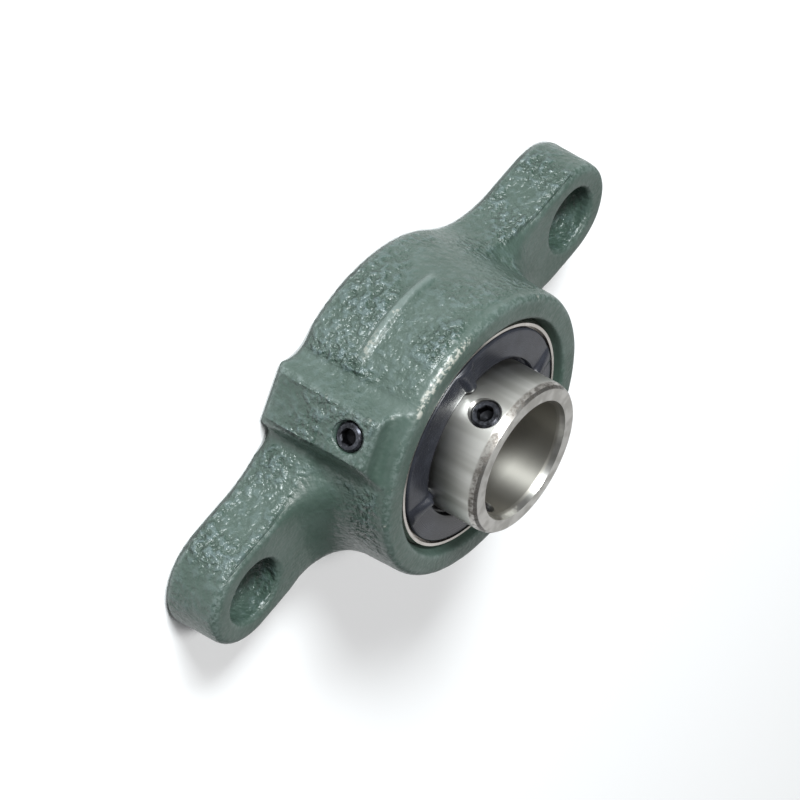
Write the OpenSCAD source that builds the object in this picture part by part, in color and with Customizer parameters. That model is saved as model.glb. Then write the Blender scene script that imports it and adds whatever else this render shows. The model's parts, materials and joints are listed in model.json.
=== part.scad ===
// Two-bolt flange bearing: a self-aligning ball bearing insert in a cast two-bolt flange.
// Origin: where the shaft's axis meets the mounting face. +Z runs along the shaft to the
// nose, +X to one bolt hole. All lengths are in millimetres.

/* [Housing] */
// Distance between the two bolt holes
bolt_pitch = 105; // [98:0.5:112]
// Diameter of each bolt hole
bolt_hole_d = 14; // [9:0.5:15]
// Width of an ear, and the diameter of its round end
ear_w = 24.4; // [22:0.2:27]
// Distance from a bolt hole's centre out to the centre of the ear's round end
ear_out = 0.6; // [0:0.1:2]
// Thickness of the ears
ear_t = 12.7; // [10:0.1:14]
// Diameter of the hub at the mounting face
hub_d = 65; // [64:0.5:69]
// Distance from the bearing's centre to the hub's front face
hub_reach = 9.8; // [9.4:0.1:11]
// Radius of the hollow curve between hub and ear, seen along the shaft
neck_r = 24; // [14:1:26]
// Height of the fine witness step where a rounding or a fillet runs out on its wall
blend_step = 0.05; // [0.03:0.01:0.2]
// Radius of the fillet between the hub's wall and an ear's front face
root_r = 9; // [3:0.5:10]
// Casting draft on all upright walls, in degrees
draft_deg = 2.4; // [0.5:0.1:3]
// Rounding of the front edges of ears, hub and grease pad
edge_r = 1.6; // [0.8:0.1:2]
// Chamfer of the cast outline at the mounting face
back_chamfer = 0.9; // [0.3:0.1:1.5]
// Rounding of the bolt holes' front mouths
mouth_r = 0.8; // [0.3:0.1:1.2]
// Width of the parting ridge on the hub's wall
ridge_w = 2.4; // [1.5:0.1:3.5]
// Height that the parting ridge stands proud at its middle
ridge_proud = 0.6; // [0.3:0.1:0.8]
// Half of the angle that the parting ridge spans, in degrees
ridge_half_deg = 27; // [15:1:32]
// Height of the parting ridge above the ears' front face
ridge_over_ear = 0.7; // [0:0.1:2]

/* [Seat] */
// Diameter of the bearing's spherical outside
seat_d = 52; // [48:0.5:53]
// Height of the bearing's centre above the mounting face
seat_z = 19.7; // [18.5:0.1:21.5]
// Radial clearance between the bearing and its spherical seat
seat_gap = 0.03; // [0.01:0.01:0.1]
// Radial clearance of the front opening round the bearing, at the hub's front face
mouth_gap = 0.1; // [0:0.05:0.5]
// Radial width of the lead-in from the front opening to the seat
lead_in = 0.9; // [0.5:0.1:1.2]
// Radial height of the seat's rear lip, under the widest diameter of the bearing
rear_lip = 1.6; // [1:0.1:2.2]
// Length of the rear lip's land
lip_land = 0.8; // [0.4:0.1:1.5]
// Radial depth of the relief behind the seat
relief_depth = 1.5; // [1:0.1:2.5]
// Clearance on each side of the loading slots behind the seat
slot_gap = 0.3; // [0.1:0.1:0.6]

/* [Grease port] */
// Direction of the grease pad round the shaft, in degrees from +X
pad_deg = 135; // [120:5:150]
// Distance from the hub's wall at the mounting face out to the pad's flat face
pad_proud = 3.7; // [3:0.1:5.5]
// Distance of the pad's front end behind the hub's front face
pad_short = 4.2; // [3:0.1:5]
// Width of the pad's face at its front end
pad_w_front = 9.8; // [9:0.2:12]
// Width of the pad's face at the mounting face
pad_w_back = 12; // [10:0.2:14]
// Widening of each flank of the pad from its face to its foot
pad_flank = 3.4; // [1:0.2:5]
// Depth from the pad's face to the foot of its flanks
pad_foot = 5.6; // [4:0.2:7]
// Diameter of the grease plug's thread
plug_d = 6; // [5:0.5:6.5]
// Length of the grease plug
plug_len = 5.6; // [4:0.2:6]
// Depth of the plug's outer end below the pad's face, and of the countersink round it
plug_sunk = 0.35; // [0.1:0.05:1]
// Diameter of the grease passage
passage_d = 3; // [2:0.25:4]
// Width of the grease groove in the seat
groove_w = 4.6; // [3.5:0.2:5]
// Depth of the grease groove in the seat
groove_depth = 0.8; // [0.4:0.1:1.2]

/* [Bearing rings] */
// Diameter of the shaft bore
bore_d = 25; // [24:0.5:25.5]
// Wall of the inner ring, from the bore to its ground outside
inner_wall = 3.96; // [3.8:0.02:4.4]
// Length of the inner ring
inner_len = 34.1; // [33:0.1:36]
// Reach of the inner ring behind the bearing's centre
inner_back = 14.3; // [13.5:0.1:15]
// Width of the outer ring as a share of its diameter
outer_w_share = 0.327; // [0.32:0.001:0.33]
// Diameter of a ball as a share of the section, from the inner ring's outside to the seat
ball_share = 0.832; // [0.8:0.001:0.84]
// Height of the balls' centres in the section, as a share
pitch_share = 0.2925; // [0.28:0.0005:0.3]
// Number of balls
ball_count = 9; // [7:1:9]
// Clearance between a ball and each raceway
race_gap = 0.03; // [0.01:0.01:0.06]
// Radius of a raceway's groove as a share of the ball's diameter
race_share = 0.515; // [0.51:0.005:0.53]
// Height of the outer ring's land beside the raceway, as a share of the section
land_share = 0.549; // [0.54:0.001:0.56]
// Height of the step that a seal snaps behind, as a share of the section
step_share = 0.6855; // [0.68:0.0005:0.69]
// Height of the outer ring's recess round a slinger, as a share of the section
recess_share = 0.785; // [0.77:0.001:0.79]
// Axial length of the worn chamfer round the nose
nose_chamfer_len = 1.8; // [1:0.1:2.2]
// Radial depth of the worn chamfer round the nose
nose_chamfer_in = 0.75; // [0.4:0.05:1]
// Radial depth of the chamfer at each end of the bore
bore_chamfer_in = 0.62; // [0.3:0.02:0.8]
// Axial length of the chamfer at each end of the bore
bore_chamfer_len = 1.6; // [0.6:0.1:2]
// Diameter of the two oil holes in the outer ring
oil_hole_d = 1.6; // [1:0.1:1.6]

/* [Cage] */
// Thickness of the cage's pressed sheet
cage_t = 0.6; // [0.4:0.05:0.7]
// Clearance between a ball and its pocket
pocket_gap = 0.1; // [0.05:0.01:0.15]
// Radial width of the cage's band as a share of the section
cage_w_share = 0.2725; // [0.2:0.0025:0.3]
// Diameter of a cage rivet's shank
rivet_d = 1.2; // [0.8:0.1:1.4]
// Diameter of a cage rivet's heads
rivet_head_d = 2.1; // [1.8:0.1:2.4]
// Height of a cage rivet's heads
rivet_head_h = 0.5; // [0.3:0.05:0.7]

/* [Seals and slingers] */
// Thickness of the pressed sheet of seals and slingers
sheet_t = 0.6; // [0.4:0.05:0.7]
// Clearance between the cage and a seal
seal_clear = 0.33; // [0.2:0.01:0.4]
// Radial depth that a seal's rim snaps into the outer ring
seal_snap = 0.3; // [0.1:0.05:0.4]
// Radial clearance between a slinger and the recess round it
slinger_gap = 0.5; // [0.4:0.05:0.8]
// Height of a slinger's inner rim beyond the outer ring's face
slinger_proud = 0.7; // [0.4:0.05:1]
// Fall of a slinger's disc from its inner rim to its outer edge
slinger_fall = 0.6; // [0.2:0.05:0.8]
// Width of the open channel between the inner ring and a slinger's rim
channel_w = 0.9; // [0.5:0.05:1.2]
// Depth of that channel
channel_depth = 1.5; // [1:0.1:1.6]
// Number of ribs pressed into a slinger
rib_count = 4; // [3:1:6]
// Width of a rib at the inner ring
rib_w_in = 2.4; // [2:0.1:4]
// Width of a rib at the slinger's edge
rib_w_out = 4.2; // [3:0.1:7]

/* [Set screws] */
// Direction of the first set screw round the shaft, in degrees from +X
screw_deg = 99.6; // [90:0.2:110]
// Angle between the two set screws
screw_spread = 120; // [62:1:180]
// Distance of the set screws from the nose's front face
screw_in = 5.4; // [5:0.1:6]
// Diameter of a set screw's thread
screw_d = 6; // [5:0.5:6]
// Depth of a set screw's outer end below the inner ring's outside at rest
screw_sunk = 0.24; // [0.1:0.02:0.4]
// Clearance between a set screw's tip and the shaft bore at rest
screw_clear = 0.12; // [0.05:0.01:0.2]
// Diameter of the countersink round a set screw
sink_d = 7.1; // [6.6:0.1:7.6]
// Width across flats of the hexagon sockets
hex_af = 3; // [2.5:0.1:3.2]
// Depth of the hexagon sockets
hex_depth = 2; // [1.5:0.1:2.2]
// Bevel at the mouth and the foot of the hexagon sockets
hex_bevel = 0.4; // [0.2:0.05:0.5]
// Bevel at the outer end of a headless screw; its tip has twice as much
end_bevel = 0.5; // [0.2:0.05:0.5]
// Depth of the cup in a headless screw's tip
cup_depth = 0.6; // [0.3:0.05:0.8]

/* [Fits] */
// Radial clearance between a thread and its tapped hole
thread_gap = 0.03; // [0.01:0.01:0.08]
// Clearance between pieces that are pressed or staked together
staked_gap = 0.02; // [0.01:0.01:0.05]
// Clearance between a seal's lip and the inner ring
lip_gap = 0.05; // [0.02:0.01:0.1]

/* [Hidden] */
BALLS = [for (i = [1 : ball_count]) str("ball_", i)];

$fn = 96;
// how far a tool reaches past what it cuts: a sliver where it ends in a cone's mouth
eps = 0.01;
over = 1;
slope = tan(draft_deg);
PAINT = [0.36, 0.45, 0.41];
STEEL = [0.72, 0.71, 0.68];
OXIDE = [0.12, 0.12, 0.13];
BLUED = [0.28, 0.29, 0.33];
NITRILE = [0.08, 0.08, 0.09];
ZINC = [0.62, 0.63, 0.62];

hub_r = hub_d / 2;
ear_r = ear_w / 2;
bolt_x = bolt_pitch / 2;
hub_h = seat_z + hub_reach;
pad_h = hub_h - pad_short;
pad_face = hub_r + pad_proud;
seat_r = seat_d / 2 + seat_gap;
bore_r = bore_d / 2;
inner_r = bore_r + inner_wall;
nose_z = seat_z - inner_back + inner_len;
screw_len = inner_wall - screw_clear - screw_sunk;

// the bearing's section, from the inner ring's outside to the seat, and what it is shared into
section_h = seat_d / 2 - inner_r;
ball_r = ball_share * section_h / 2;
race_r = 2 * ball_r * race_share;
pitch_r = inner_r + pitch_share * section_h;
land_r = inner_r + land_share * section_h;
step_r = inner_r + step_share * section_h;
recess_r = inner_r + recess_share * section_h;
slinger_r = recess_r - slinger_gap;
cage_w = cage_w_share * section_h;
face_dz = outer_w_share * seat_d / 2;
seal_in = ball_r + pocket_gap + cage_t + seal_clear;

// centre of the neck's hollow curve, which runs out on the hub and on the ear's side
neck_y = ear_r + neck_r + blend_step;
neck_far = hub_r + neck_r + blend_step;
neck_x = sqrt(neck_far * neck_far - neck_y * neck_y);
touch_x = neck_x * (hub_r + 2 * blend_step) / neck_far;
touch_y = neck_y * (hub_r + 2 * blend_step) / neck_far;

function hub_wall(z) = hub_r - slope * z;
// Height of a sphere of radius r where its section has radius s
function ring_at(r, s) = sqrt(r * r - s * s);

// Half section of a cast body of radius r and height h: chamfered at the mounting face,
// drafted up its side, and rounded by edge at its front
module cast_section(r, h, edge) {
    arc_z = h - edge - blend_step;
    wall_x = r - slope * arc_z;
    arc_x = wall_x - edge - blend_step;
    polygon([
        [0, 0],
        [r - back_chamfer, 0],
        [r - slope * back_chamfer, back_chamfer],
        [wall_x, arc_z],
        [arc_x, arc_z],
        [arc_x, h],
        [0, h]
    ]);
    translate([arc_x, arc_z]) circle(r = edge);
}

// Spin the children's half section round the bearing's axis
module turned() {
    rotate_extrude() children();
}

// Place children at the ball plane, mirrored to the rear for side -1
module at_centre(side = 1) {
    translate([0, 0, seat_z]) mirror([0, 0, side < 0 ? 1 : 0]) children();
}

// A tool along +X, at a height and a direction round the shaft
module radial(angle, z) {
    rotate([0, 0, angle]) translate([0, 0, z]) rotate([0, 90, 0]) children();
}

module ear() {
    end_x = bolt_x + ear_out;
    translate([end_x, 0, 0]) turned() cast_section(ear_r, ear_t, edge_r);
    translate([neck_x, 0, 0]) rotate([90, 0, 90]) linear_extrude(end_x - neck_x) {
        cast_section(ear_r, ear_t, edge_r);
        mirror([1, 0]) cast_section(ear_r, ear_t, edge_r);
    }
}

// The hollow curve's cutter: drafted, flared over the ear's front edge, then sloped back
module neck_cutter() {
    reach = neck_r + root_r + ear_r;
    top = ear_t + root_r;
    flare = neck_r + slope * ear_t + edge_r + 2 * blend_step;
    translate([neck_x, neck_y, 0]) turned() {
        difference() {
            polygon([
                [0, -over],
                [neck_r + back_chamfer, -over],
                [neck_r + back_chamfer, 0],
                [reach, 0],
                [reach, ear_t],
                [flare, ear_t],
                [flare + root_r / 2, top + over],
                [0, top + over]
            ]);
            translate([reach, 0]) mirror([1, 0]) cast_section(reach - neck_r, ear_t, edge_r);
        }
    }
}

// Fillet from the hub's wall down to the ears' front face
module root_fillet() {
    top = ear_t + root_r;
    centre_x = hub_wall(top) + root_r;
    turned() difference() {
        polygon([
            [hub_wall(top) - edge_r, ear_t - edge_r],
            [centre_x, ear_t - edge_r],
            [centre_x, top],
            [hub_wall(top) - edge_r, top]
        ]);
        translate([centre_x, top]) circle(r = root_r - blend_step);
    }
}

// The web from the hub into the ear, with the fillet on its front, cut to the hollow curve
module neck() {
    web_x = neck_x + blend_step;
    outline = [
        [0, 0],
        [touch_x, touch_y],
        [web_x, ear_r + 2 * blend_step],
        [web_x, -ear_r - 2 * blend_step],
        [touch_x, -touch_y]
    ];
    difference() {
        union() {
            linear_extrude(ear_t) polygon(outline);
            intersection() {
                root_fillet();
                linear_extrude(ear_t + root_r) polygon(outline);
            }
        }
        neck_cutter();
        mirror([0, 1, 0]) neck_cutter();
    }
}

// Parting ridge: a ring set off the axis, so that it fades into the wall at both ends
module parting_ridge() {
    ridge_z = ear_t + ridge_over_ear;
    ridge_r = ridge_w / 2;
    offset_y = ridge_proud / (1 - cos(ridge_half_deg));
    ring_r = hub_wall(ridge_z) + ridge_proud - ridge_r - offset_y;
    translate([0, offset_y, ridge_z]) turned() translate([ring_r, 0]) circle(r = ridge_r);
}

// Raised pad for the grease port, wider at the mounting face and at its foot
module grease_pad() {
    deep = hub_r / 2;
    half = pad_w_back / 2;
    foot = half + pad_flank;
    rotate([0, 0, pad_deg]) intersection() {
        translate([pad_face, 0, 0])
            linear_extrude(pad_h, scale = [1, pad_w_front / pad_w_back], slices = 1)
            polygon([
                [0, half],
                [-pad_foot, foot],
                [-deep, foot],
                [-deep, -foot],
                [-pad_foot, -foot],
                [0, -half]
            ]);
        translate([0, foot, 0]) rotate([90, 0, 0]) linear_extrude(2 * foot) pad_side();
    }
}

// Side view of the pad: its face is upright, and its front edge is rounded
module pad_side() {
    polygon([
        [0, 0],
        [pad_face - back_chamfer, 0],
        [pad_face, back_chamfer],
        [pad_face, pad_h - edge_r],
        [pad_face - edge_r, pad_h - edge_r],
        [pad_face - edge_r, pad_h],
        [0, pad_h]
    ]);
    translate([pad_face - edge_r, pad_h - edge_r]) circle(r = edge_r);
}

// Everything hollow round the shaft: seat, front lead-in, rear relief and grease groove
module seat_cavity() {
    opening_r = seat_d / 2 + mouth_gap;
    relief_r = seat_d / 2 + relief_depth;
    lip_r = seat_r - rear_lip;
    lip_z = seat_z - ring_at(seat_r, lip_r) - lip_land;
    lead_r = opening_r - lead_in;
    lead_z = seat_z + ring_at(seat_r, lead_r);
    lead_slope = lead_in / (hub_h - lead_z);
    at_centre() sphere(r = seat_r, $fn = 200);
    turned() polygon([
        [0, -over],
        [relief_r, -over],
        [relief_r, lip_z - (relief_r - lip_r)],
        [lip_r, lip_z],
        [lip_r, seat_z],
        [lead_r - over * lead_slope, lead_z - over],
        [opening_r, hub_h],
        [opening_r, hub_h + over],
        [0, hub_h + over]
    ]);
    translate([0, 0, seat_z - groove_w + passage_d / 2])
        cylinder(h = groove_w, r = seat_r + groove_depth);
}

// Two slots behind the seat, through which the bearing is loaded crosswise
module loading_slots() {
    half = face_dz + slot_gap;
    translate([0, 0, -over]) intersection() {
        translate([-seat_d, -half, 0]) cube([2 * seat_d, 2 * half, seat_z + over]);
        cylinder(h = seat_z + over, r = seat_r + slot_gap);
    }
}

// Tapped hole for the plug, its countersink, and the passage to the seat
module grease_port() {
    hole_r = plug_d / 2 + thread_gap;
    foot = pad_face - plug_sunk - plug_len - thread_gap;
    radial(pad_deg, seat_z) {
        translate([0, 0, seat_r - over]) cylinder(h = foot - seat_r + 2 * over, d = passage_d);
        translate([0, 0, foot]) cylinder(h = pad_face - foot + over, r = hole_r);
        translate([0, 0, pad_face - plug_sunk])
            cylinder(h = plug_sunk + eps, r1 = hole_r, r2 = hole_r + plug_sunk);
    }
}

module bolt_holes() {
    arc_x = bolt_hole_d / 2 + mouth_r + blend_step;
    arc_z = ear_t - mouth_r - blend_step;
    for (x = [-bolt_x, bolt_x]) translate([x, 0, 0]) {
        translate([0, 0, -over]) cylinder(h = ear_t + 2 * over, d = bolt_hole_d);
        turned() difference() {
            translate([0, arc_z]) square([arc_x, ear_t - arc_z + over]);
            translate([arc_x, arc_z]) circle(r = mouth_r);
        }
    }
}

module housing() {
    color(PAINT) difference() {
        union() {
            turned() cast_section(hub_r, hub_h, edge_r);
            for (m = [0, 1]) mirror([m, 0, 0]) {
                ear();
                neck();
            }
            parting_ridge();
            grease_pad();
        }
        seat_cavity();
        loading_slots();
        grease_port();
        bolt_holes();
    }
}

// Hexagon socket with a countersunk mouth, cut down from z = 0
module hex_socket() {
    corner_r = hex_af / 2 / cos(30);
    translate([0, 0, -hex_depth]) cylinder(h = hex_depth + over, r = corner_r, $fn = 6);
    translate([0, 0, -hex_depth - hex_bevel])
        cylinder(h = hex_bevel + eps, r1 = hex_bevel / 2, r2 = hex_af / 2);
    translate([0, 0, -hex_bevel])
        cylinder(h = hex_bevel + eps, r1 = corner_r - hex_bevel, r2 = corner_r + eps);
}

// Headless screw along +Z with its outer end at z = 0: bevelled ends and a cup at its tip
module headless_screw(d, len) {
    r = d / 2;
    cup_r = r - 3 * end_bevel;
    difference() {
        turned() polygon([
            [0, -len],
            [r - 2 * end_bevel, -len],
            [r, -len + 2 * end_bevel],
            [r, -end_bevel],
            [r - end_bevel, 0],
            [0, 0]
        ]);
        hex_socket();
        translate([0, 0, -len - eps]) cylinder(h = cup_depth, r1 = cup_r, r2 = cup_r - cup_depth);
    }
}

module grease_plug() {
    color(OXIDE) radial(pad_deg, seat_z)
        translate([0, 0, pad_face - plug_sunk]) headless_screw(plug_d, plug_len);
}

// One groove of a raceway, seen in half section, at the ball plane
module race_groove(inward) {
    bottom = pitch_r + inward * (ball_r + race_gap);
    translate([bottom - inward * race_r, 0]) circle(r = race_r);
}

module outer_ring() {
    race_edge = sqrt(pow(race_r, 2) - pow(land_r - pitch_r, 2));
    color(STEEL) at_centre() difference() {
        turned() difference() {
            intersection() {
                circle(r = seat_d / 2, $fn = 200);
                translate([land_r, -face_dz]) square([seat_d, 2 * face_dz]);
            }
            race_groove(1);
            for (side = [-1, 1]) scale([1, side]) {
                translate([0, seal_in]) square([step_r + seal_snap, sheet_t + staked_gap]);
                translate([0, seal_in]) square([step_r, face_dz]);
                translate([0, seal_in + 2 * sheet_t + staked_gap]) square([recess_r, face_dz]);
            }
        }
        for (a = [pad_deg, pad_deg + 180]) radial(a, -(seal_in + race_edge) / 2)
            translate([0, 0, land_r - over]) cylinder(h = face_dz, d = oil_hole_d);
    }
}

module screw_holes() {
    for (a = [screw_deg, screw_deg + screw_spread]) radial(a, nose_z - screw_in) {
        hole_r = screw_d / 2 + thread_gap;
        sink = sink_d / 2 - hole_r;
        cylinder(h = inner_r + over, r = hole_r);
        translate([0, 0, inner_r - sink]) cylinder(h = sink, r1 = hole_r, r2 = sink_d / 2);
        translate([0, 0, inner_r - eps]) cylinder(h = over, r = sink_d / 2);
    }
}

module inner_ring() {
    back_z = seat_z - inner_back;
    chamfer = nose_chamfer_in;
    color(STEEL) difference() {
        turned() difference() {
            polygon([
                [bore_r + bore_chamfer_in, back_z],
                [inner_r - chamfer, back_z],
                [inner_r, back_z + chamfer],
                [inner_r, nose_z - nose_chamfer_len],
                [inner_r - chamfer / 3, nose_z - nose_chamfer_len / 3],
                [inner_r - chamfer, nose_z],
                [bore_r + bore_chamfer_in, nose_z],
                [bore_r, nose_z - bore_chamfer_len],
                [bore_r, back_z + bore_chamfer_len]
            ]);
            translate([0, seat_z]) race_groove(-1);
        }
        screw_holes();
    }
}

function ball_angle(i) = 360 * (i - 1) / ball_count;

module ball(i) {
    color(STEEL) rotate([0, 0, ball_angle(i)]) translate([pitch_r, 0, seat_z]) sphere(r = ball_r);
}

module rivet_places() {
    for (i = [1 : ball_count])
        rotate([0, 0, ball_angle(i + 0.5)]) translate([pitch_r, 0, 0]) children();
}

// Half of the cage: a flat band that bulges over the balls
module cage_half() {
    pocket_r = ball_r + pocket_gap;
    difference() {
        intersection() {
            union() {
                cylinder(h = cage_t, r = pitch_r + cage_w / 2);
                for (i = [1 : ball_count])
                    rotate([0, 0, ball_angle(i)]) translate([pitch_r, 0, 0])
                        sphere(r = pocket_r + cage_t);
            }
            difference() {
                cylinder(h = pocket_r + cage_t, r = pitch_r + cage_w / 2);
                translate([0, 0, -over])
                    cylinder(h = pocket_r + 2 * over, r = pitch_r - cage_w / 2);
            }
        }
        for (i = [1 : ball_count])
            rotate([0, 0, ball_angle(i)]) translate([pitch_r, 0, 0]) sphere(r = pocket_r);
        rivet_places() translate([0, 0, -over])
            cylinder(h = cage_t + 2 * over, d = rivet_d + 2 * staked_gap);
    }
}

module cage_front() {
    color(ZINC) at_centre(1) cage_half();
}

module cage_rear() {
    color(ZINC) at_centre(-1) cage_half();
}

module cage_rivets() {
    color(ZINC) at_centre() rivet_places() {
        translate([0, 0, -cage_t]) cylinder(h = 2 * cage_t, d = rivet_d, $fn = 24);
        for (side = [0, 1]) mirror([0, 0, side]) translate([0, 0, cage_t])
            cylinder(h = rivet_head_h, d1 = rivet_head_d, d2 = rivet_d, $fn = 24);
    }
}

// Sheet ring that is held in the outer ring's groove
module seal_shell(side) {
    color(ZINC) at_centre(side) translate([0, 0, seal_in + staked_gap / 2]) difference() {
        cylinder(h = sheet_t, r = step_r + seal_snap - staked_gap);
        translate([0, 0, -over]) cylinder(h = sheet_t + 2 * over, r = inner_r + 2 * sheet_t);
    }
}

// Rubber lip that is bonded to the seal's sheet and wipes the inner ring
module seal_lip(side) {
    lip_r = inner_r + lip_gap;
    sheet_in = inner_r + 2 * sheet_t;
    low = seal_in + staked_gap / 2;
    high = low + sheet_t;
    color(NITRILE) at_centre(side) turned() polygon([
        [lip_r, low + sheet_t / 2],
        [sheet_in, low],
        [sheet_in, high],
        [sheet_in + 2 * sheet_t, high],
        [sheet_in + 2 * sheet_t, high + sheet_t],
        [sheet_in, high + sheet_t],
        [lip_r, low + sheet_t]
    ]);
}

// Pressed disc that turns with the inner ring: a hub, an open channel, a coned disc and ribs
module slinger(side) {
    rim_z = face_dz + slinger_proud;
    edge_z = rim_z - slinger_fall;
    out_r = slinger_r;
    in_r = inner_r + staked_gap;
    rim_r = inner_r + channel_w;
    floor_z = rim_z - channel_depth;
    skirt_z = (2 * (seal_in + 3 * sheet_t) + face_dz) / 3;
    rib_step = 360 / rib_count;
    color(BLUED) at_centre(side) {
        turned() polygon([
            [in_r, floor_z - sheet_t],
            [rim_r + sheet_t, floor_z - sheet_t],
            [rim_r + sheet_t, rim_z - sheet_t],
            [out_r - sheet_t, edge_z - sheet_t],
            [out_r - sheet_t, skirt_z],
            [out_r, skirt_z],
            [out_r, edge_z - sheet_t / 2],
            [out_r - sheet_t / 2, edge_z],
            [rim_r, rim_z],
            [rim_r, floor_z],
            [in_r, floor_z]
        ]);
        for (a = [0 : rib_step : 359]) rotate([0, 0, a]) slinger_rib(in_r, out_r, rim_z);
    }
}

// Rib pressed up from the slinger's disc, which also stakes its rim to the inner ring
module slinger_rib(in_r, out_r, rim_z) {
    edge_in = out_r - sheet_t;
    difference() {
        translate([0, 0, rim_z - slinger_fall - sheet_t]) linear_extrude(slinger_fall + sheet_t)
            polygon([
                [in_r - over, -rib_w_in / 2],
                [edge_in, -rib_w_out / 2],
                [edge_in, rib_w_out / 2],
                [in_r - over, rib_w_in / 2]
            ]);
        translate([0, 0, rim_z - channel_depth]) cylinder(h = channel_depth + over, r = in_r);
    }
}

module set_screw(i) {
    angle = screw_deg + (i - 1) * screw_spread;
    color(OXIDE) radial(angle, nose_z - screw_in)
        translate([0, 0, inner_r - screw_sunk]) headless_screw(screw_d, screw_len);
}

housing();
grease_plug();
outer_ring();
inner_ring();
for (i = [1 : ball_count]) ball(i);
cage_front();
cage_rear();
cage_rivets();
seal_shell(1);  // front_seal_shell
seal_lip(1);  // front_seal_lip
seal_shell(-1);  // rear_seal_shell
seal_lip(-1);  // rear_seal_lip
slinger(1);  // front_slinger
slinger(-1);  // rear_slinger
set_screw(1);  // set_screw_1
set_screw(2);  // set_screw_2
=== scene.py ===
"""Dresses the two-bolt flange bearing: a sand-cast painted housing, pressed slingers, threaded
screws and ground rings, on a pale floor in soft studio light. Lengths are in metres."""

import json
import math

import bmesh
import bpy
import numpy as np
from mathutils import Matrix, Vector, noise


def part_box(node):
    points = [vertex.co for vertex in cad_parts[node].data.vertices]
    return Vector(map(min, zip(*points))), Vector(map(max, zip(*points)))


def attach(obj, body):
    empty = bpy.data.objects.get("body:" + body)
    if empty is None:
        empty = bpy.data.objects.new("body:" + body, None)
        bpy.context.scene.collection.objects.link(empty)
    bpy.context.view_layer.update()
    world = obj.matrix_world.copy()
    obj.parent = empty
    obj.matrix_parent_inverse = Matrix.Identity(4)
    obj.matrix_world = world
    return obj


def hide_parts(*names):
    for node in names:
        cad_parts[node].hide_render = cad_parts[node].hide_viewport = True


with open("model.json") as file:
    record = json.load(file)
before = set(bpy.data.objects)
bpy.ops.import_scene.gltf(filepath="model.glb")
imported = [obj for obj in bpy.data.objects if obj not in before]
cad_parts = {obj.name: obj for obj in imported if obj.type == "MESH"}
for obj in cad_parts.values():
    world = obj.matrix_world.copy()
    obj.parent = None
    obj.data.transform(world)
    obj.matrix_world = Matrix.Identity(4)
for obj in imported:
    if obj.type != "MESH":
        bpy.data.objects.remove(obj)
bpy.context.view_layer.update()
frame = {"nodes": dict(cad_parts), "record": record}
MM = 0.001

# Sizes read from the frame
JOINTS = {joint["name"]: joint for joint in frame["record"]["behaviour"]["joints"]}
MOUNTS = {mount["name"]: mount for mount in frame["record"]["mounts"]}
SEAT_Z = JOINTS["shaft_spin"]["pos_m"][2]
RING_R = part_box("outer_ring")[1][0]
INNER_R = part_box("inner_ring")[1][0]
NOSE_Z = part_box("inner_ring")[1][2]
BORE_R = MOUNTS["shaft_bore"]["dims"]["r_mm"] * MM
BOLT_X = MOUNTS["mounting_bolts"]["dims"]["spacing_x_mm"] * MM / 2
HOLE_R = MOUNTS["mounting_bolts"]["dims"]["hole_r_mm"] * MM
HOUSING_LOW, HOUSING_HIGH = (Vector(corner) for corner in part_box("housing"))
HUB_H = HOUSING_HIGH.z
PAD_DIR = Vector(JOINTS["plug_out"]["axis"])

# Casting
VOXEL = 0.45 * MM
SOFTENING_ROUNDS = 9
FOOT_ROUNDS = 60
CAVITY_R = 27.9 * MM
SEAT_CLEARANCE = 0.08 * MM
SEAT_CATCH = 0.6 * MM
SAND_DEPTH = 0.34 * MM
SAND_SIZE = 1.9 * MM
SWELL_DEPTH = 0.12 * MM
SWELL_SIZE = 7 * MM
PATCH_SIZE = 11 * MM
PAD_FACE = 36.2 * MM
PAD_TOP = 25.3 * MM
PAD_HALF = 4.9 * MM
PAD_FLARE = 0.6
RIDGE_Z = 13.4 * MM
RIDGE_HALF = 0.75 * MM
RIDGE_PUSH = 0.35 * MM
RIDGE_SPAN = math.radians(24)

# Slingers
SHEET_T = 0.6 * MM
CHANNEL_W = 0.9 * MM
CHANNEL_DEPTH = 1.5 * MM
SLINGER_FALL = 0.6 * MM
RIB_COUNT = 4
RIB_HALF_IN = 1.5 * MM
RIB_HALF_OUT = 2.6 * MM
RIB_RISE = 1.1 * MM
DISC_STEPS = 480

# Screws
HEX_AF = 3 * MM
THREAD_PITCH = 1 * MM
THREAD_DEPTH = 0.28 * MM
SCREW_BEVEL = 0.5 * MM
SOCKET_DEPTH = 2 * MM
SOCKET_MOUTH = 0.32 * MM
SCREW_STEPS = 72
STEPS_PER_TURN = 14

# Camera, fitted to the ellipses of the bore, the nose, the hub's mouth and the bolt holes
AZIMUTH = math.radians(204.514)
ELEVATION = math.radians(26.061)
ROLL = math.radians(119.036)
DISTANCE = 717 * MM
TARGET = Vector((0.227, -4.243, 7.144)) * MM
LENS = 160.31


def mesh_object(name, mesh, body, node):
    """A piece that stands for a node and rides on its body."""
    piece = bpy.data.objects.new(name, mesh)
    bpy.context.scene.collection.objects.link(piece)
    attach(piece, body)
    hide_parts(node)
    return piece


def vertex_array(mesh):
    points = np.empty(len(mesh.vertices) * 3, dtype=np.float32)
    mesh.vertices.foreach_get("co", points)
    return points.reshape(-1, 3).astype(np.float64)


def ramp(value, low, high):
    """0 below low, 1 above high, smooth between them."""
    t = np.clip((value - low) / (high - low), 0, 1)
    return t * t * (3 - 2 * t)


# Housing

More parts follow.
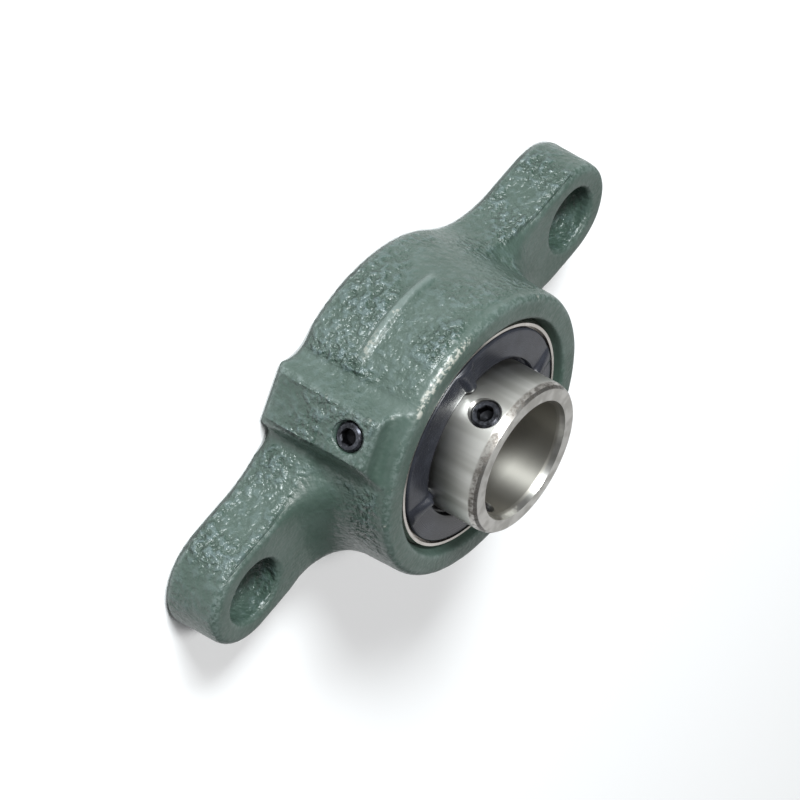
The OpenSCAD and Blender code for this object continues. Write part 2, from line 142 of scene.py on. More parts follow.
def pad_apron(work):
    """Adds the hollow slope from the grease pad's front end up to the hub's front edge."""
    low, deep = PAD_TOP - 1.3 * MM, 28 * MM
    out, up = PAD_FACE - 0.9 * MM, HUB_H - 1.5 * MM
    wide, high = out - 30.9 * MM, up - PAD_TOP + 0.5 * MM
    profile = [(deep, low), (out, low)]
    for step in range(13):
        turn = math.pi / 2 * step / 12
        profile.append((out - wide * math.sin(turn), up - high * math.cos(turn)))
    profile.append((deep, up))
    ends = []
    for side in (-1, 1):
        end = []
        for along, z in profile:
            across = side * (PAD_HALF + (PAD_FACE - along) * PAD_FLARE)
            x = along * PAD_DIR.x - across * PAD_DIR.y
            y = along * PAD_DIR.y + across * PAD_DIR.x
            end.append(work.verts.new((x, y, z)))
        ends.append(end)
    faces = [work.faces.new(ends[0]), work.faces.new(ends[1])]
    for k in range(len(profile)):
        n = (k + 1) % len(profile)
        faces.append(work.faces.new((ends[0][k], ends[0][n], ends[1][n], ends[1][k])))
    bmesh.ops.recalc_face_normals(work, faces=faces)


def remeshed(source, name):
    """Copy of a node's mesh on an even grid, so that its cast edges can be worn soft."""
    mesh = source.data.copy()
    mesh.materials.clear()
    work = bmesh.new()
    work.from_mesh(mesh)
    bmesh.ops.remove_doubles(work, verts=work.verts, dist=0.001 * MM)
    pad_apron(work)
    work.to_mesh(mesh)
    work.free()
    holder = bpy.data.objects.new(name + "_grid", mesh)
    bpy.context.scene.collection.objects.link(holder)
    grid = holder.modifiers.new("grid", "REMESH")
    grid.mode = "VOXEL"
    grid.voxel_size = VOXEL
    grid.use_smooth_shade = True
    evaluated = holder.evaluated_get(bpy.context.evaluated_depsgraph_get())
    result = bpy.data.meshes.new_from_object(evaluated)
    result.name = name
    bpy.data.objects.remove(holder)
    return result


def relaxed(points, edges, weight, rounds):
    """Moves each point towards the middle of its neighbours, by its weight, several times."""
    first, second = edges[:, 0], edges[:, 1]
    count = len(points)
    degree = np.bincount(first, minlength=count) + np.bincount(second, minlength=count)
    for _ in range(rounds):
        total = np.empty_like(points)
        for axis in range(3):
            total[:, axis] = np.bincount(first, points[second, axis], count)
            total[:, axis] += np.bincount(second, points[first, axis], count)
        points = points + 0.5 * weight[:, None] * (total / degree[:, None] - points)
    return points


def cast_weight(points):
    """1 on the cast skin, 0 on the mounting face, in the seat and on what lies behind it."""
    radius = np.hypot(points[:, 0], points[:, 1])
    inside = 1 - ramp(radius, CAVITY_R - 1.2 * MM, CAVITY_R)
    mouth = ramp(points[:, 2], HUB_H - 0.6 * MM, HUB_H - 0.1 * MM)
    hole = np.hypot(np.abs(points[:, 0]) - BOLT_X, points[:, 1])
    skin = (1 - inside) + 0.5 * inside * mouth
    skin *= 0.4 + 0.6 * ramp(hole, HOLE_R + 0.2 * MM, HOLE_R + 1.6 * MM)
    return skin * ramp(points[:, 2], 0.02 * MM, 0.5 * MM)


def ridge_zone(points, half):
    """1 along the parting ridge on the hub's wall, to half its width, fading at its ends."""
    away = np.abs(np.arctan2(points[:, 0], points[:, 1]))
    along = 1 - ramp(away, 0.7 * RIDGE_SPAN, RIDGE_SPAN)
    return along * (1 - ramp(np.abs(points[:, 2] - RIDGE_Z), 0.6 * half, 1.5 * half))


def foot_weight(points):
    """1 in the hollow corners where pad, hub and ears meet, which a casting fills."""
    radius = np.hypot(points[:, 0], points[:, 1])
    along = points[:, 0] * PAD_DIR.x + points[:, 1] * PAD_DIR.y
    across = np.abs(points[:, 0] * PAD_DIR.y - points[:, 1] * PAD_DIR.x)
    beside = ramp(across, 6.3 * MM, 8.2 * MM) * (1 - ramp(across, 11 * MM, 14 * MM))
    near_pad = beside * ramp(along, 24 * MM, 27 * MM)
    keep_edge = 1 - ramp(points[:, 2], HUB_H - 3 * MM, HUB_H - 2 * MM)
    near_pad *= ramp(radius, 30 * MM, 31 * MM) * keep_edge
    root = ramp(points[:, 2], 10.8 * MM, 12 * MM) * (1 - ramp(points[:, 2], 18 * MM, 21 * MM))
    root *= ramp(np.abs(points[:, 0]), 24 * MM, 28 * MM) * (1 - ramp(radius, 42 * MM, 45 * MM))
    return np.maximum(near_pad, root)


def rough_zone(points, normals):
    """1 where the sand's texture is coarse: the upright walls and the pad. It is less where the
    photo shows smooth paint, such as the pad's flanks and the ears' outer ends, and on the far side."""
    upright = 1 - ramp(np.abs(normals[:, 2]), 0.35, 0.75)
    behind = 1 - 0.9 * ramp(points[:, 2], HUB_H - 4 * MM, HUB_H - 2 * MM)
    radius = np.hypot(points[:, 0], points[:, 1])
    mouth = ramp(radius, CAVITY_R, CAVITY_R + 1 * MM)
    hole = np.hypot(np.abs(points[:, 0]) - BOLT_X, points[:, 1])
    mouth *= 0.15 + 0.85 * ramp(np.abs(hole - HOLE_R - 1.2 * MM), 0.7 * MM, 1.3 * MM)
    far_side = 0.35 + 0.65 * ramp(points[:, 1] + 0.5 * np.abs(points[:, 0]), 4 * MM, 14 * MM)
    along = points[:, 0] * PAD_DIR.x + points[:, 1] * PAD_DIR.y
    across = np.abs(points[:, 0] * PAD_DIR.y - points[:, 1] * PAD_DIR.x)
    flank = ramp(across, 4.6 * MM, 5.6 * MM) * (1 - ramp(across, 9 * MM, 11 * MM))
    apron = ramp(points[:, 2], 23.5 * MM, 25 * MM) * (1 - ramp(across, 8 * MM, 9 * MM))
    smooth = np.maximum(0.85 * np.maximum(flank, apron), 0.35 * (1 - ramp(across, 4 * MM, 5 * MM)))
    far_side *= 1 - smooth * ramp(along, 26 * MM, 28 * MM)
    calm = ramp(points[:, 0], 1 * MM, 8 * MM) * (1 - ramp(radius, 34 * MM, 38 * MM))
    far_side *= 1 - 0.6 * calm
    below = ramp(-points[:, 0], 22 * MM, 27 * MM) * (1 - ramp(-points[:, 0], 36 * MM, 41 * MM))
    far_side *= 1 - 0.6 * below * ramp(points[:, 2], 12.4 * MM, 13.2 * MM)
    far_side *= 1 - 0.75 * ramp(np.abs(points[:, 0]), BOLT_X + 1 * MM, BOLT_X + 8 * MM)
    return np.clip(upright * behind * mouth * far_side + 0.08, 0, 1)


def worn_zone(points):
    """1 on the hub's front edge beside the grease pad, where the enamel is rubbed through."""
    angle = np.degrees(np.arctan2(points[:, 1], points[:, 0]))
    side = ramp(angle, 78, 90) * (1 - ramp(angle, 118, 128))
    return side * ramp(points[:, 2], HUB_H - 2.6 * MM, HUB_H - 1.6 * MM)


def sand_relief(points, rough):
    """Depth below the skin at each point, and how coarse it is: lumps come in patches."""
    depth = np.empty(len(points))
    coarse = np.empty(len(points))
    for index, point in enumerate(points):
        place = Vector(point)
        lump = noise.noise(place / SAND_SIZE) + 0.45 * noise.noise(place / (0.5 * SAND_SIZE))
        swell = noise.noise(place / SWELL_SIZE)
        patch = min(max(0.62 + 1.5 * noise.noise(place / PATCH_SIZE), 0.3), 1)
        coarse[index] = rough[index] * patch
        depth[index] = SAND_DEPTH * coarse[index] * (0.75 + lump) / 1.5
        depth[index] += SWELL_DEPTH * (0.5 + 0.5 * swell)
    return np.clip(depth, 0, None), coarse


def point_attribute(mesh, name, values):
    layer = mesh.attributes.new(name, "FLOAT", "POINT")
    layer.data.foreach_set("value", values.astype(np.float32))


def vertex_normals(mesh):
    normals = np.empty(len(mesh.vertices) * 3, dtype=np.float32)
    mesh.vertices.foreach_get("normal", normals)
    return normals.reshape(-1, 3).astype(np.float64)


def casting():
    mesh = remeshed(frame["nodes"]["housing"], "housing_casting")
    points = vertex_array(mesh)
    edges = np.empty(len(mesh.edges) * 2, dtype=np.int32)
    mesh.edges.foreach_get("vertices", edges)
    edges = edges.reshape(-1, 2)
    skin = cast_weight(points)
    points = relaxed(points, edges, foot_weight(points), FOOT_ROUNDS)
    ridge = ridge_zone(points, 2 * RIDGE_HALF)
    points = relaxed(points, edges, skin * (1 - 0.85 * ridge), SOFTENING_ROUNDS)

    centre = np.array([0, 0, SEAT_Z])
    arm = points - centre
    reach = np.linalg.norm(arm, axis=1)
    clear_r = RING_R + SEAT_CLEARANCE
    seat = (reach > RING_R - SEAT_CATCH) & (reach < clear_r)
    seat &= np.hypot(points[:, 0], points[:, 1]) < clear_r
    points[seat] = centre + arm[seat] / reach[seat, None] * clear_r
    mesh.vertices.foreach_set("co", points.astype(np.float32).ravel())
    mesh.update()

    normals = vertex_normals(mesh)
    rough = rough_zone(points, normals)
    depth, rough = sand_relief(points, rough)
    depth *= skin * (1 - ridge)
    depth -= RIDGE_PUSH * ridge_zone(points, RIDGE_HALF)
    smooth = relaxed(points, edges, np.ones(len(points)), 10)
    convex = np.einsum("ij,ij->i", points - smooth, normals)
    points = points - depth[:, None] * normals
    points = np.clip(points, np.array(HOUSING_LOW), np.array(HOUSING_HIGH))
    mesh.vertices.foreach_set("co", points.astype(np.float32).ravel())
    mesh.update()
    point_attribute(mesh, "rough", rough * skin * (1 - 0.6 * ridge))
    proud = ridge_zone(points, RIDGE_HALF)
    # ridge also lightens the paint along the ridge as a painted highlight.
    point_attribute(mesh, "ridge", proud)
    point_attribute(mesh, "ridge_end", proud * ramp(-points[:, 0], 4 * MM, 9 * MM))
    edge = ramp(convex, 0.03 * MM, 0.12 * MM) * skin
    point_attribute(mesh, "edge", edge)
    # hollow marks the concave corners, which the paint darkens as painted shade.
    point_attribute(mesh, "hollow", ramp(-convex, 0.03 * MM, 0.14 * MM) * skin)
    point_attribute(mesh, "worn", edge * worn_zone(points))
    piece = mesh_object("housing_casting", mesh, "housing", "housing")
    mesh.materials.append(painted_iron())
    return piece


# Pressed and turned pieces

def lathe(name, profile, steps, rise):
    """Closed ring turned from (radius, height, lift) points, each raised by lift times rise."""
    work = bmesh.new()
    rings = []
    for step in range(steps):
        angle = 2 * math.pi * step / steps
        ring = []
        for radius, height, lift in profile:
            z = height + lift * rise(radius, angle)
            ring.append(work.verts.new((radius * math.cos(angle), radius * math.sin(angle), z)))
        rings.append(ring)
    for step, ring in enumerate(rings):
        after = rings[(step + 1) % steps]
        for k in range(len(ring)):
            n = (k + 1) % len(ring)
            work.faces.new((ring[k], after[k], after[n], ring[n]))
    bmesh.ops.recalc_face_normals(work, faces=work.faces)
    for face in work.faces:
        face.smooth = True
    mesh = bpy.data.meshes.new(name)
    work.to_mesh(mesh)
    work.free()
    return mesh


def slinger_rise(rim_r, out_r):
    """Height of the pressed ribs: pinched at the ring, fanned out and fading to the edge."""
    def rise(radius, angle):
        share = min(max((radius - rim_r) / (out_r - rim_r), 0), 1)
        half = RIB_HALF_IN + (RIB_HALF_OUT - RIB_HALF_IN) * share
        turn = math.remainder(angle, 2 * math.pi / RIB_COUNT)
        across = abs(radius * math.sin(turn)) / half
        if across >= 1:
            return 0
        crown = 1 - across ** 2.5
        return crown * (1 - 0.55 * share)
    return rise


def slinger(node, side):
    """Coined disc with a hub, an open channel round the ring and four ribs across both."""
    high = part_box(node)[1 if side > 0 else 0][2]
    rim_z = (high - SEAT_Z) * side
    out_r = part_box(node)[1][0]
    in_r = INNER_R + 0.02 * MM
    rim_r = INNER_R + CHANNEL_W
    floor_z = rim_z - CHANNEL_DEPTH
    edge_z = rim_z - SLINGER_FALL
    bend = 0.16 * MM
    skirt_z = edge_z - 1.1 * MM
    ring_top = [
        (in_r, floor_z - SHEET_T, 0), (in_r, floor_z, 1.6),
        (rim_r - 0.12 * MM, floor_z, 1.5), (rim_r, floor_z + 0.12 * MM, 1.4),
        (rim_r, rim_z - 2 * bend, 1), (rim_r + 0.3 * bend, rim_z - 0.7 * bend, 1),
        (rim_r + bend, rim_z, 1),
    ]
    disc = []
    cone_steps = 9
    for step in range(1, cone_steps + 1):
        share = step / cone_steps
        radius = rim_r + bend + (out_r - 2 * bend - rim_r - bend) * share
        fall = (SLINGER_FALL - 0.5 * bend) * share
        disc.append((radius, rim_z - fall, 1 if step < cone_steps else 0.6))
    rim = [
        (out_r - 0.6 * bend, edge_z - 0.4 * bend, 0.3), (out_r, edge_z - 1.6 * bend, 0),
        (out_r, skirt_z, 0), (out_r - SHEET_T, skirt_z, 0),
        (out_r - SHEET_T, edge_z - SHEET_T, 0), (rim_r + SHEET_T, rim_z - SHEET_T, 0),
        (rim_r + SHEET_T, floor_z - SHEET_T, 0),
    ]
    shape = slinger_rise(rim_r, out_r)
    profile = ring_top + disc + rim
    mesh = lathe(node + "_disc", profile, DISC_STEPS, lambda r, a: RIB_RISE * shape(r, a))
    flip = Matrix.Diagonal((1, 1, side, 1))
    mesh.transform(Matrix.Translation((0, 0, SEAT_Z)) @ flip)
    if side < 0:
        mesh.flip_normals()
    piece = mesh_object(node + "_disc", mesh, "shaft_ring", node)
    mesh.materials.append(blued_sheet())
    return piece


def screw_radius(r, z, angle, length, bevel):
    """Radius of a threaded shank at height z below its outer end, bevelled at both ends."""
    turn = (z / THREAD_PITCH + angle / (2 * math.pi)) % 1
    wave = abs(2 * turn - 1)
    cut = THREAD_DEPTH * min(max(1.5 * wave - 0.25, 0), 1)
    end = min(r - bevel + z, r - 2 * bevel + (length - z))
    return min(r - cut, end)


def threaded_screw(name, body, node, material):
    """Headless screw with a cut thread, a hexagon socket and a cup point, on a node's place."""
    low, high = (Vector(corner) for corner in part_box(node))
    out = Vector(JOINTS[{"grease_plug": "plug_out"}.get(node, node + "_drive")]["axis"])
    if out.dot((low + high) / 2 - Vector((0, 0, (low.z + high.z) / 2))) < 0:
        out = -out
    out.z = 0
    out.normalize()
    radius = (high.z - low.z) / 2
    middle = (low.z + high.z) / 2
    vertices = frame["nodes"][node].data.vertices
    reaches = [vertex.co.x * out.x + vertex.co.y * out.y for vertex in vertices]
    length = max(reaches) - min(reaches)
    bevel = SCREW_BEVEL
    around, down = SCREW_STEPS, int(length / THREAD_PITCH * STEPS_PER_TURN)
    work = bmesh.new()
    rings = []

    def ring(function):
        points = []
        for step in range(around):
            angle = 2 * math.pi * step / around
            r, z = function(angle)
            points.append(work.verts.new((r * math.cos(angle), r * math.sin(angle), -z)))
        rings.append(points)

    def hexagon(angle):
        return HEX_AF / 2 / math.cos(math.remainder(angle, math.pi / 3))

    socket = SOCKET_DEPTH
    mouth = SOCKET_MOUTH
    ring(lambda angle: (0.1 * MM, socket + 0.35 * MM))
    ring(lambda angle: (HEX_AF / 2 * 0.97, socket))
    ring(lambda angle: (hexagon(angle), socket - 0.02 * MM))
    ring(lambda angle: (hexagon(angle), mouth))
    ring(lambda angle: (HEX_AF / 2 / math.cos(math.pi / 6) + 0.05 * MM, 0.02 * MM))
    ring(lambda angle: (radius - bevel, 0))
    for step in range(1, down):
        z = length * step / down
        ring(lambda angle, z=z: (screw_radius(radius, z, angle, length, bevel), z))
    ring(lambda angle: (radius - 2 * bevel, length))
    ring(lambda angle: (radius - 3 * bevel, length))
    ring(lambda angle: (0.3 * MM, length - 0.6 * MM))
    for k in range(len(rings) - 1):
        for step in range(around):
            after = (step + 1) % around
            work.faces.new((rings[k][step], rings[k][after], rings[k + 1][after], rings[k + 1][step]))
    work.faces.new(rings[0])
    work.faces.new(rings[-1])
    bmesh.ops.recalc_face_normals(work, faces=work.faces)
    mesh = bpy.data.meshes.new(name)
    work.to_mesh(mesh)
    work.free()
    # socket marks the hexagon socket's rings, which the oxide material blackens as painted shade.
    in_socket = [1.0 if k < 4 else 0.0 for k in range(len(rings))]
    point_attribute(mesh, "socket", np.repeat(in_socket, around))
    side = Vector((0, 0, 1)).cross(out)
    turned = Matrix((side, Vector((0, 0, 1)), out)).transposed().to_4x4()
    place = Matrix.Translation(out * max(reaches) + Vector((0, 0, middle)))
    mesh.transform(place @ turned)
    piece = mesh_object(name, mesh, body, node)
    mesh.materials.append(material)
    return piece


# Materials

class Nodes:
    """Short calls for building one material's node tree."""

    def __init__(self, name):
        self.material = bpy.data.materials.new(name)
        self.material.use_nodes = True
        self.tree = self.material.node_tree
        self.shader = self.tree.nodes["Principled BSDF"]
        self.place = self.add("ShaderNodeTexCoord").outputs["Object"]

    def add(self, kind, **inputs):
        node = self.tree.nodes.new(kind)
        for name, value in inputs.items():
            self.feed(node.inputs[name.replace("_", " ")], value)
        return node

    def feed(self, socket, value):
        if isinstance(value, bpy.types.NodeSocket):
            self.tree.links.new(value, socket)
        else:
            socket.default_value = value

    def math(self, operation, first, second):
        node = self.tree.nodes.new("ShaderNodeMath")
        node.operation = operation
        self.feed(node.inputs[0], first)
        self.feed(node.inputs[1], second)
        return node.outputs[0]

    def noise(self, size, detail=3.0, roughness=0.55, vector=None):
        """Noise whose lumps are about size metres across."""
        node = self.add("ShaderNodeTexNoise", Scale=1 / size, Detail=detail, Roughness=roughness)
        self.feed(node.inputs["Vector"], vector or self.place)
        return node.outputs["Fac"]

    def scaled(self, x, y, z):
        """The object's own place, stretched along its axes."""
        node = self.tree.nodes.new("ShaderNodeVectorMath")
        node.operation = "MULTIPLY"
        self.feed(node.inputs[0], self.place)
        self.feed(node.inputs[1], (x, y, z))
        return node.outputs[0]

    def ramp(self, value, low, high, start=0.0, end=1.0):
        node = self.add("ShaderNodeMapRange")
        node.interpolation_type = "SMOOTHSTEP"
        self.feed(node.inputs["Value"], value)
        for name, number in (("From Min", low), ("From Max", high), ("To Min", start), ("To Max", end)):
            node.inputs[name].default_value = number
        return node.outputs["Result"]

    def mix(self, factor, first, second):
        node = self.tree.nodes.new("ShaderNodeMix")
        node.data_type = "RGBA"
        self.feed(node.inputs[0], factor)
        self.feed(node.inputs[6], first)
        self.feed(node.inputs[7], second)
        return node.outputs[2]

    def bump(self, height, distance):
        node = self.add("ShaderNodeBump", Height=height, Distance=distance, Strength=1.0)
        return node.outputs["Normal"]

    def attribute(self, name):
        node = self.tree.nodes.new("ShaderNodeAttribute")
        node.attribute_name = name
        return node.outputs["Fac"]

    def set(self, **inputs):
        for name, value in inputs.items():
            self.feed(self.shader.inputs[name.replace("_", " ")], value)


def rgb(red, green, blue):
    return (red, green, blue, 1.0)


# Colours
PAINT_DARK = rgb(0.035, 0.060, 0.047)
PAINT_LIGHT = rgb(0.051, 0.078, 0.065)
# painted shade for the lumps' valleys and the hollow corners
PAINT_SHADE = rgb(0.022, 0.044, 0.032)
# painted highlight for the lumps' crests
PAINT_HIGHLIGHT = rgb(0.120, 0.165, 0.172)
# partly thin paint on the edges, partly painted highlight on the edges and the ridge
PAINT_THIN_AND_HIGHLIGHT = rgb(0.200, 0.240, 0.230)
PRIMER = rgb(0.40, 0.39, 0.34)
# The steels' light and dark tones are mixed in bands along the shaft as painted reflections.
NOSE_LIGHT = rgb(0.64, 0.63, 0.60)
NOSE_DARK = rgb(0.46, 0.45, 0.42)
# painted shade inside the bore
BORE_SHADE = rgb(0.37, 0.355, 0.32)
WORN_TONE = rgb(0.34, 0.31, 0.28)
WORN_STAIN = rgb(0.095, 0.075, 0.063)
RACE_LIGHT = rgb(0.74, 0.70, 0.66)
RACE_DARK = rgb(0.60, 0.57, 0.53)
ZINC_LIGHT = rgb(0.52, 0.53, 0.54)
ZINC_DARK = rgb(0.40, 0.41, 0.42)
BALL_LIGHT = rgb(0.80, 0.80, 0.80)
BALL_DARK = rgb(0.74, 0.74, 0.74)
BLUED_DARK = rgb(0.014, 0.015, 0.020)
BLUED_LIGHT = rgb(0.026, 0.028, 0.036)
DUST = rgb(0.20, 0.21, 0.24)
OXIDE_DARK = rgb(0.016, 0.016, 0.019)
OXIDE_LIGHT = rgb(0.070, 0.073, 0.086)
OXIDE_RUBBED = rgb(0.16, 0.16, 0.17)
# painted shade inside the hexagon sockets
SOCKET_SHADE = rgb(0.004, 0.004, 0.005)
RUBBER_DARK = rgb(0.010, 0.010, 0.011)
RUBBER_LIGHT = rgb(0.022, 0.022, 0.024)
PAPER_DARK = rgb(0.94, 0.94, 0.94)
PAPER_LIGHT = rgb(0.96, 0.96, 0.96)


def painted_iron():
    """Grey-green gloss enamel over sand-cast iron, thin on its edges and its parting ridge. It has
    painted shade in the valleys between its lumps and in its hollow corners, and painted highlights on
    its lumps' crests, its edges and its ridge.
    """
    m = Nodes("painted_iron")
    rough = m.attribute("rough")
    edge = m.attribute("edge")
    ridge = m.attribute("ridge")
    patches = m.noise(12 * MM, 3)
    lumps = m.noise(1.5 * MM, 2, 0.45)
    pits = m.noise(0.8 * MM, 1, 0.4)
    broken = m.ramp(m.noise(0.9 * MM, 3, 0.65), 0.44, 0.58)
    base = m.mix(m.ramp(patches, 0.35, 0.68), PAINT_DARK, PAINT_LIGHT)
    # Painted shade: the valleys between the sand lumps and the hollow corners are darkened.
    painted_shade = m.math("MULTIPLY", m.ramp(lumps, 0.56, 0.38), rough)
    painted_shade = m.math("MAXIMUM", m.math("MULTIPLY", painted_shade, 0.6), m.attribute("hollow"))
    base = m.mix(m.math("MULTIPLY", painted_shade, 0.8), base, PAINT_SHADE)
    # Painted highlight: the crests of the sand lumps are lightened to a pale blue-grey.
    crest_highlight = m.math("MULTIPLY", m.ramp(lumps, 0.48, 0.64), rough)
    base = m.mix(m.math("MULTIPLY", crest_highlight, 0.55), base, PAINT_HIGHLIGHT)
    # Convex edges are lightened, partly as paint rubbed thin and partly as painted highlight, and the
    # parting ridge is lightened as painted highlight.
    rubbed = m.math("MULTIPLY", edge, m.ramp(broken, 0.0, 1.0, 0.06, 0.4))
    base = m.mix(m.math("MAXIMUM", rubbed, m.math("MULTIPLY", ridge, 0.3)), base, PAINT_THIN_AND_HIGHLIGHT)
    thin = m.math("MULTIPLY", m.ramp(m.attribute("worn"), 0.2, 0.7), broken)
    spots = m.math("MULTIPLY", edge, m.ramp(m.noise(5 * MM, 3, 0.6), 0.66, 0.72))
    thin = m.math("MAXIMUM", thin, m.math("MULTIPLY", spots, broken))
    rubbed_ridge = m.math("MULTIPLY", m.attribute("ridge_end"), broken)
    thin = m.math("MAXIMUM", thin, m.math("MULTIPLY", rubbed_ridge, 0.6))
    base = m.mix(m.math("MULTIPLY", thin, 0.65), base, PRIMER)
    relief = m.math("ADD", lumps, m.math("MULTIPLY", pits, 0.4))
    depth = m.math("ADD", m.math("MULTIPLY", rough, 0.96), 0.04)
    lumpy = m.bump(m.math("MULTIPLY", relief, depth), 1.8 * MM)
    m.set(Base_Color=base, Roughness=m.ramp(pits, 0.3, 0.7, 0.34, 0.44), Normal=lumpy)
    m.set(Specular_IOR_Level=0.6)
    return m.material


def ring_coordinates(m, stretch):
    """A place that changes fast along the shaft and outwards, and slowly round the shaft."""
    parts = m.add("ShaderNodeSeparateXYZ", Vector=m.place)
    flat = m.add("ShaderNodeCombineXYZ", X=parts.outputs["X"], Y=parts.outputs["Y"])
    length = m.tree.nodes.new("ShaderNodeVectorMath")
    length.operation = "LENGTH"
    m.feed(length.inputs[0], flat.outputs[0])
    along = m.math("MULTIPLY", parts.outputs["Z"], stretch)
    outwards = m.math("MULTIPLY", length.outputs["Value"], stretch)
    slow_x = m.math("MULTIPLY", parts.outputs["X"], 0.12)
    joined = m.add("ShaderNodeCombineXYZ", X=m.math("ADD", along, slow_x), Y=outwards)
    m.feed(joined.inputs["Z"], m.math("MULTIPLY", parts.outputs["Y"], 0.12))
    return joined.outputs[0], parts.outputs["Z"], length.outputs["Value"]


def ground_steel(name, light, dark, roughness, worn=False):
    """Steel ground round the shaft, with fine rings, light and dark bands along the shaft painted in as
    reflections, and brown wear on the nose's chamfer; with worn, the bore is darkened as painted shade.
    """
    m = Nodes(name)
    rings, height, radius = ring_coordinates(m, 12)
    marks = m.noise(1.1 * MM, 3, 0.6, rings)
    # Painted reflection: light and dark bands along the shaft, standing in for the reflections of a
    # ground surface.
    reflection_bands = m.noise(3.5 * MM, 2, 0.5, m.scaled(1, 1, 0.1))
    base = m.mix(m.ramp(reflection_bands, 0.36, 0.62), light, dark)
    base = m.mix(m.math("MULTIPLY", m.ramp(marks, 0.4, 0.9), 0.06), base, dark)
    rough = m.ramp(marks, 0.3, 0.7, roughness - 0.02, roughness + 0.03)
    if worn:
        back = m.ramp(height, NOSE_Z - 1.9 * MM, NOSE_Z - 1.4 * MM)
        band = m.math("MULTIPLY", back, m.ramp(radius, INNER_R - 0.8 * MM, INNER_R - 0.6 * MM))
        blotch = m.ramp(m.noise(1.7 * MM, 4, 0.7), 0.42, 0.62)
        stain = m.math("MULTIPLY", band, blotch)
        base = m.mix(m.math("MULTIPLY", band, 0.45), base, WORN_TONE)
        base = m.mix(m.math("MULTIPLY", stain, 0.6), base, WORN_STAIN)
        rough = m.math("ADD", rough, m.math("MULTIPLY", stain, 0.3))
        # Painted shade: the bore inside the ring is darkened.
        inside = m.ramp(radius, BORE_R + 0.3 * MM, BORE_R + 0.1 * MM)
        base = m.mix(inside, base, BORE_SHADE)
        rough = m.math("ADD", rough, m.math("MULTIPLY", inside, 0.16))
    tangent = m.tree.nodes.new("ShaderNodeTangent")
    tangent.direction_type = "RADIAL"
    tangent.axis = "Z"
    m.set(Base_Color=base, Metallic=1.0, Roughness=rough, Tangent=tangent.outputs[0])
    m.set(Anisotropic=0.6, Anisotropic_Rotation=0.25, Normal=m.bump(marks, 0.0005 * MM))
    return m.material


def blued_sheet():
    """Blue-black pressed sheet, glossy, with faint draw marks and a little pale dust."""
    m = Nodes("blued_sheet")
    marks = m.noise(1.4 * MM, 3, 0.6, ring_coordinates(m, 8)[0])
    clouds = m.noise(5 * MM, 3)
    base = m.mix(m.ramp(clouds, 0.3, 0.7), BLUED_DARK, BLUED_LIGHT)
    dust = m.ramp(m.noise(0.5 * MM, 4, 0.8), 0.67, 0.73)
    base = m.mix(m.math("MULTIPLY", dust, 0.3), base, DUST)
    m.set(Base_Color=base, Metallic=0.1, Roughness=m.ramp(marks, 0.3, 0.7, 0.25, 0.28))
    m.set(Normal=m.bump(marks, 0.0008 * MM))
    return m.material


def black_oxide():
    """Black oxide, slightly oily, rubbed to grey in small spots, with the hexagon socket blackened as
    painted shade.
    """
    m = Nodes("black_oxide")
    clouds = m.noise(1.2 * MM, 4, 0.65)
    base = m.mix(m.ramp(clouds, 0.35, 0.7), OXIDE_DARK, OXIDE_LIGHT)
    rubbed = m.ramp(m.noise(0.6 * MM, 4, 0.7), 0.58, 0.70)
    base = m.mix(m.math("MULTIPLY", rubbed, 0.5), base, OXIDE_RUBBED)
    # Painted shade: the hexagon socket is blackened.
    base = m.mix(m.math("MULTIPLY", m.attribute("socket"), 0.9), base, SOCKET_SHADE)
    m.set(Base_Color=base, Metallic=0.85, Roughness=m.ramp(clouds, 0.3, 0.7, 0.28, 0.45))
    m.set(Normal=m.bump(m.noise(0.25 * MM, 2), 0.006 * MM))
    return m.material


def nitrile():
    """Black rubber with a fine matt skin."""
    m = Nodes("nitrile")
    skin = m.noise(0.3 * MM, 3)
    base = m.mix(m.ramp(skin, 0.3, 0.7), RUBBER_DARK, RUBBER_LIGHT)
    m.set(Base_Color=base, Roughness=m.ramp(skin, 0.3, 0.7, 0.55, 0.75))
    m.set(Normal=m.bump(skin, 0.01 * MM))
    return m.material


def dress(node, material):
    slots = frame["nodes"][node].material_slots
    for slot in slots:
        slot.material = material


# Stage

def area_light(name, place, aim, size, power, colour=(1.0, 1.0, 1.0)):
    data = bpy.data.lights.new(name, "AREA")
    data.shape = "RECTANGLE"
    data.size, data.size_y = size
    data.energy = power
    data.color = colour
    light = bpy.data.objects.new(name, data)
    light.location = place
    light.rotation_euler = (Vector(aim) - Vector(place)).to_track_quat("-Z", "Y").to_euler()
    bpy.context.scene.collection.objects.link(light)


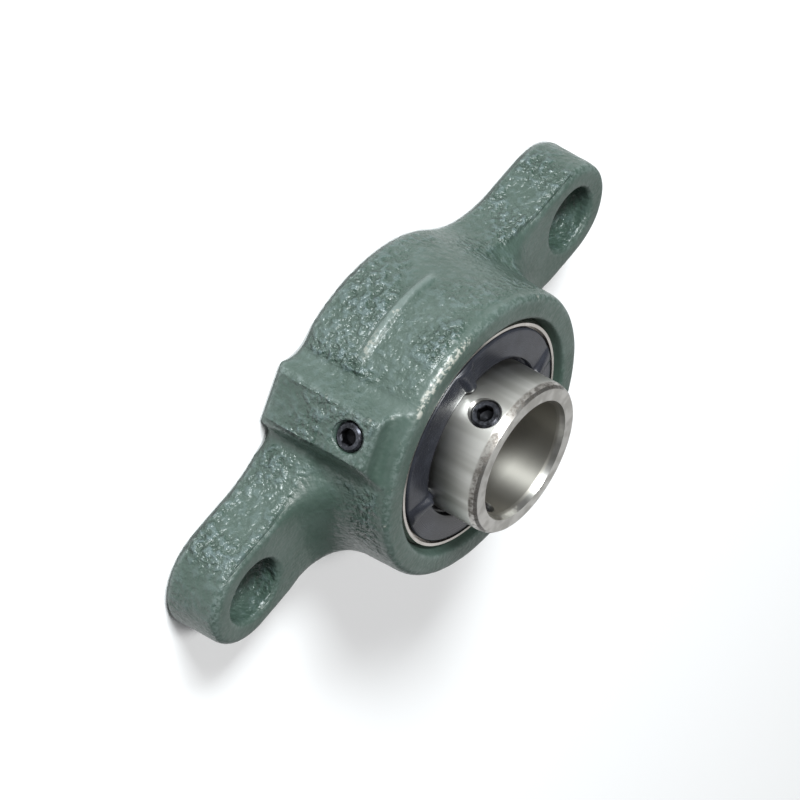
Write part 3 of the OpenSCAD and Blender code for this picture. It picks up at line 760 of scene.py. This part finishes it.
def studio():
    floor_mesh = bpy.data.meshes.new("floor")
    half = 3.0
    corners = [(-half, -half, 0), (half, -half, 0), (half, half, 0), (-half, half, 0)]
    floor_mesh.from_pydata(corners, [], [(0, 1, 2, 3)])
    floor = bpy.data.objects.new("floor", floor_mesh)
    floor.location.z = -0.02 * MM
    bpy.context.scene.collection.objects.link(floor)
    m = Nodes("floor_paper")
    tone = m.noise(0.4, 2)
    m.set(Base_Color=m.mix(tone, PAPER_DARK, PAPER_LIGHT), Roughness=0.9)
    floor_mesh.materials.append(m.material)

    world = bpy.context.scene.world or bpy.data.worlds.new("studio")
    bpy.context.scene.world = world
    world.use_nodes = True
    background = world.node_tree.nodes["Background"]
    background.inputs["Color"].default_value = rgb(0.96, 0.98, 1.0)
    background.inputs["Strength"].default_value = 0.16
    area_light("overhead", (0, 0.7, 1.45), (0, 0, 0), (0.4, 0.4), 15)
    area_light("key", (0.05, 1.6, 0.68), (0, 0, 0.02), (0.5, 0.3), 47, (0.93, 0.98, 1.0))
    area_light("card", (0.4, -0.85, 0.5), (0, 0, 0.03), (0.8, 0.8), 1.1)


def camera():
    data = bpy.data.cameras.new("camera")
    data.lens = LENS
    data.sensor_width = 36
    data.clip_start = 0.05
    data.clip_end = 20
    turn = Matrix.Rotation(AZIMUTH, 4, "Z") @ Matrix.Rotation(math.pi / 2 - ELEVATION, 4, "X")
    turn = turn @ Matrix.Rotation(ROLL, 4, "Z")
    eye = bpy.data.objects.new("camera", data)
    eye.matrix_world = Matrix.Translation(TARGET + turn.to_3x3() @ Vector((0, 0, DISTANCE))) @ turn
    bpy.context.scene.collection.objects.link(eye)
    bpy.context.scene.camera = eye


bpy.context.scene.view_settings.view_transform = "Standard"
camera()
studio()
casting()
for node, side in (("front_slinger", 1), ("rear_slinger", -1)):
    slinger(node, side)
oxide = black_oxide()
for number in (1, 2):
    node = "set_screw_%d" % number
    threaded_screw(node + "_thread", node, node, oxide)
threaded_screw("grease_plug_thread", "grease_plug", "grease_plug", oxide)

dress("inner_ring", ground_steel("nose_steel", NOSE_LIGHT, NOSE_DARK, 0.34, worn=True))
dress("outer_ring", ground_steel("race_steel", RACE_LIGHT, RACE_DARK, 0.26))
sheet = ground_steel("zinc_sheet", ZINC_LIGHT, ZINC_DARK, 0.36)
for node in ("cage_front", "cage_rear", "cage_rivets", "front_seal_shell", "rear_seal_shell"):
    dress(node, sheet)
polished = ground_steel("polished_steel", BALL_LIGHT, BALL_DARK, 0.12)
for node in frame["nodes"]:
    if node.startswith("ball_"):
        dress(node, polished)
rubber = nitrile()
for node in ("front_seal_lip", "rear_seal_lip"):
    dress(node, rubber)
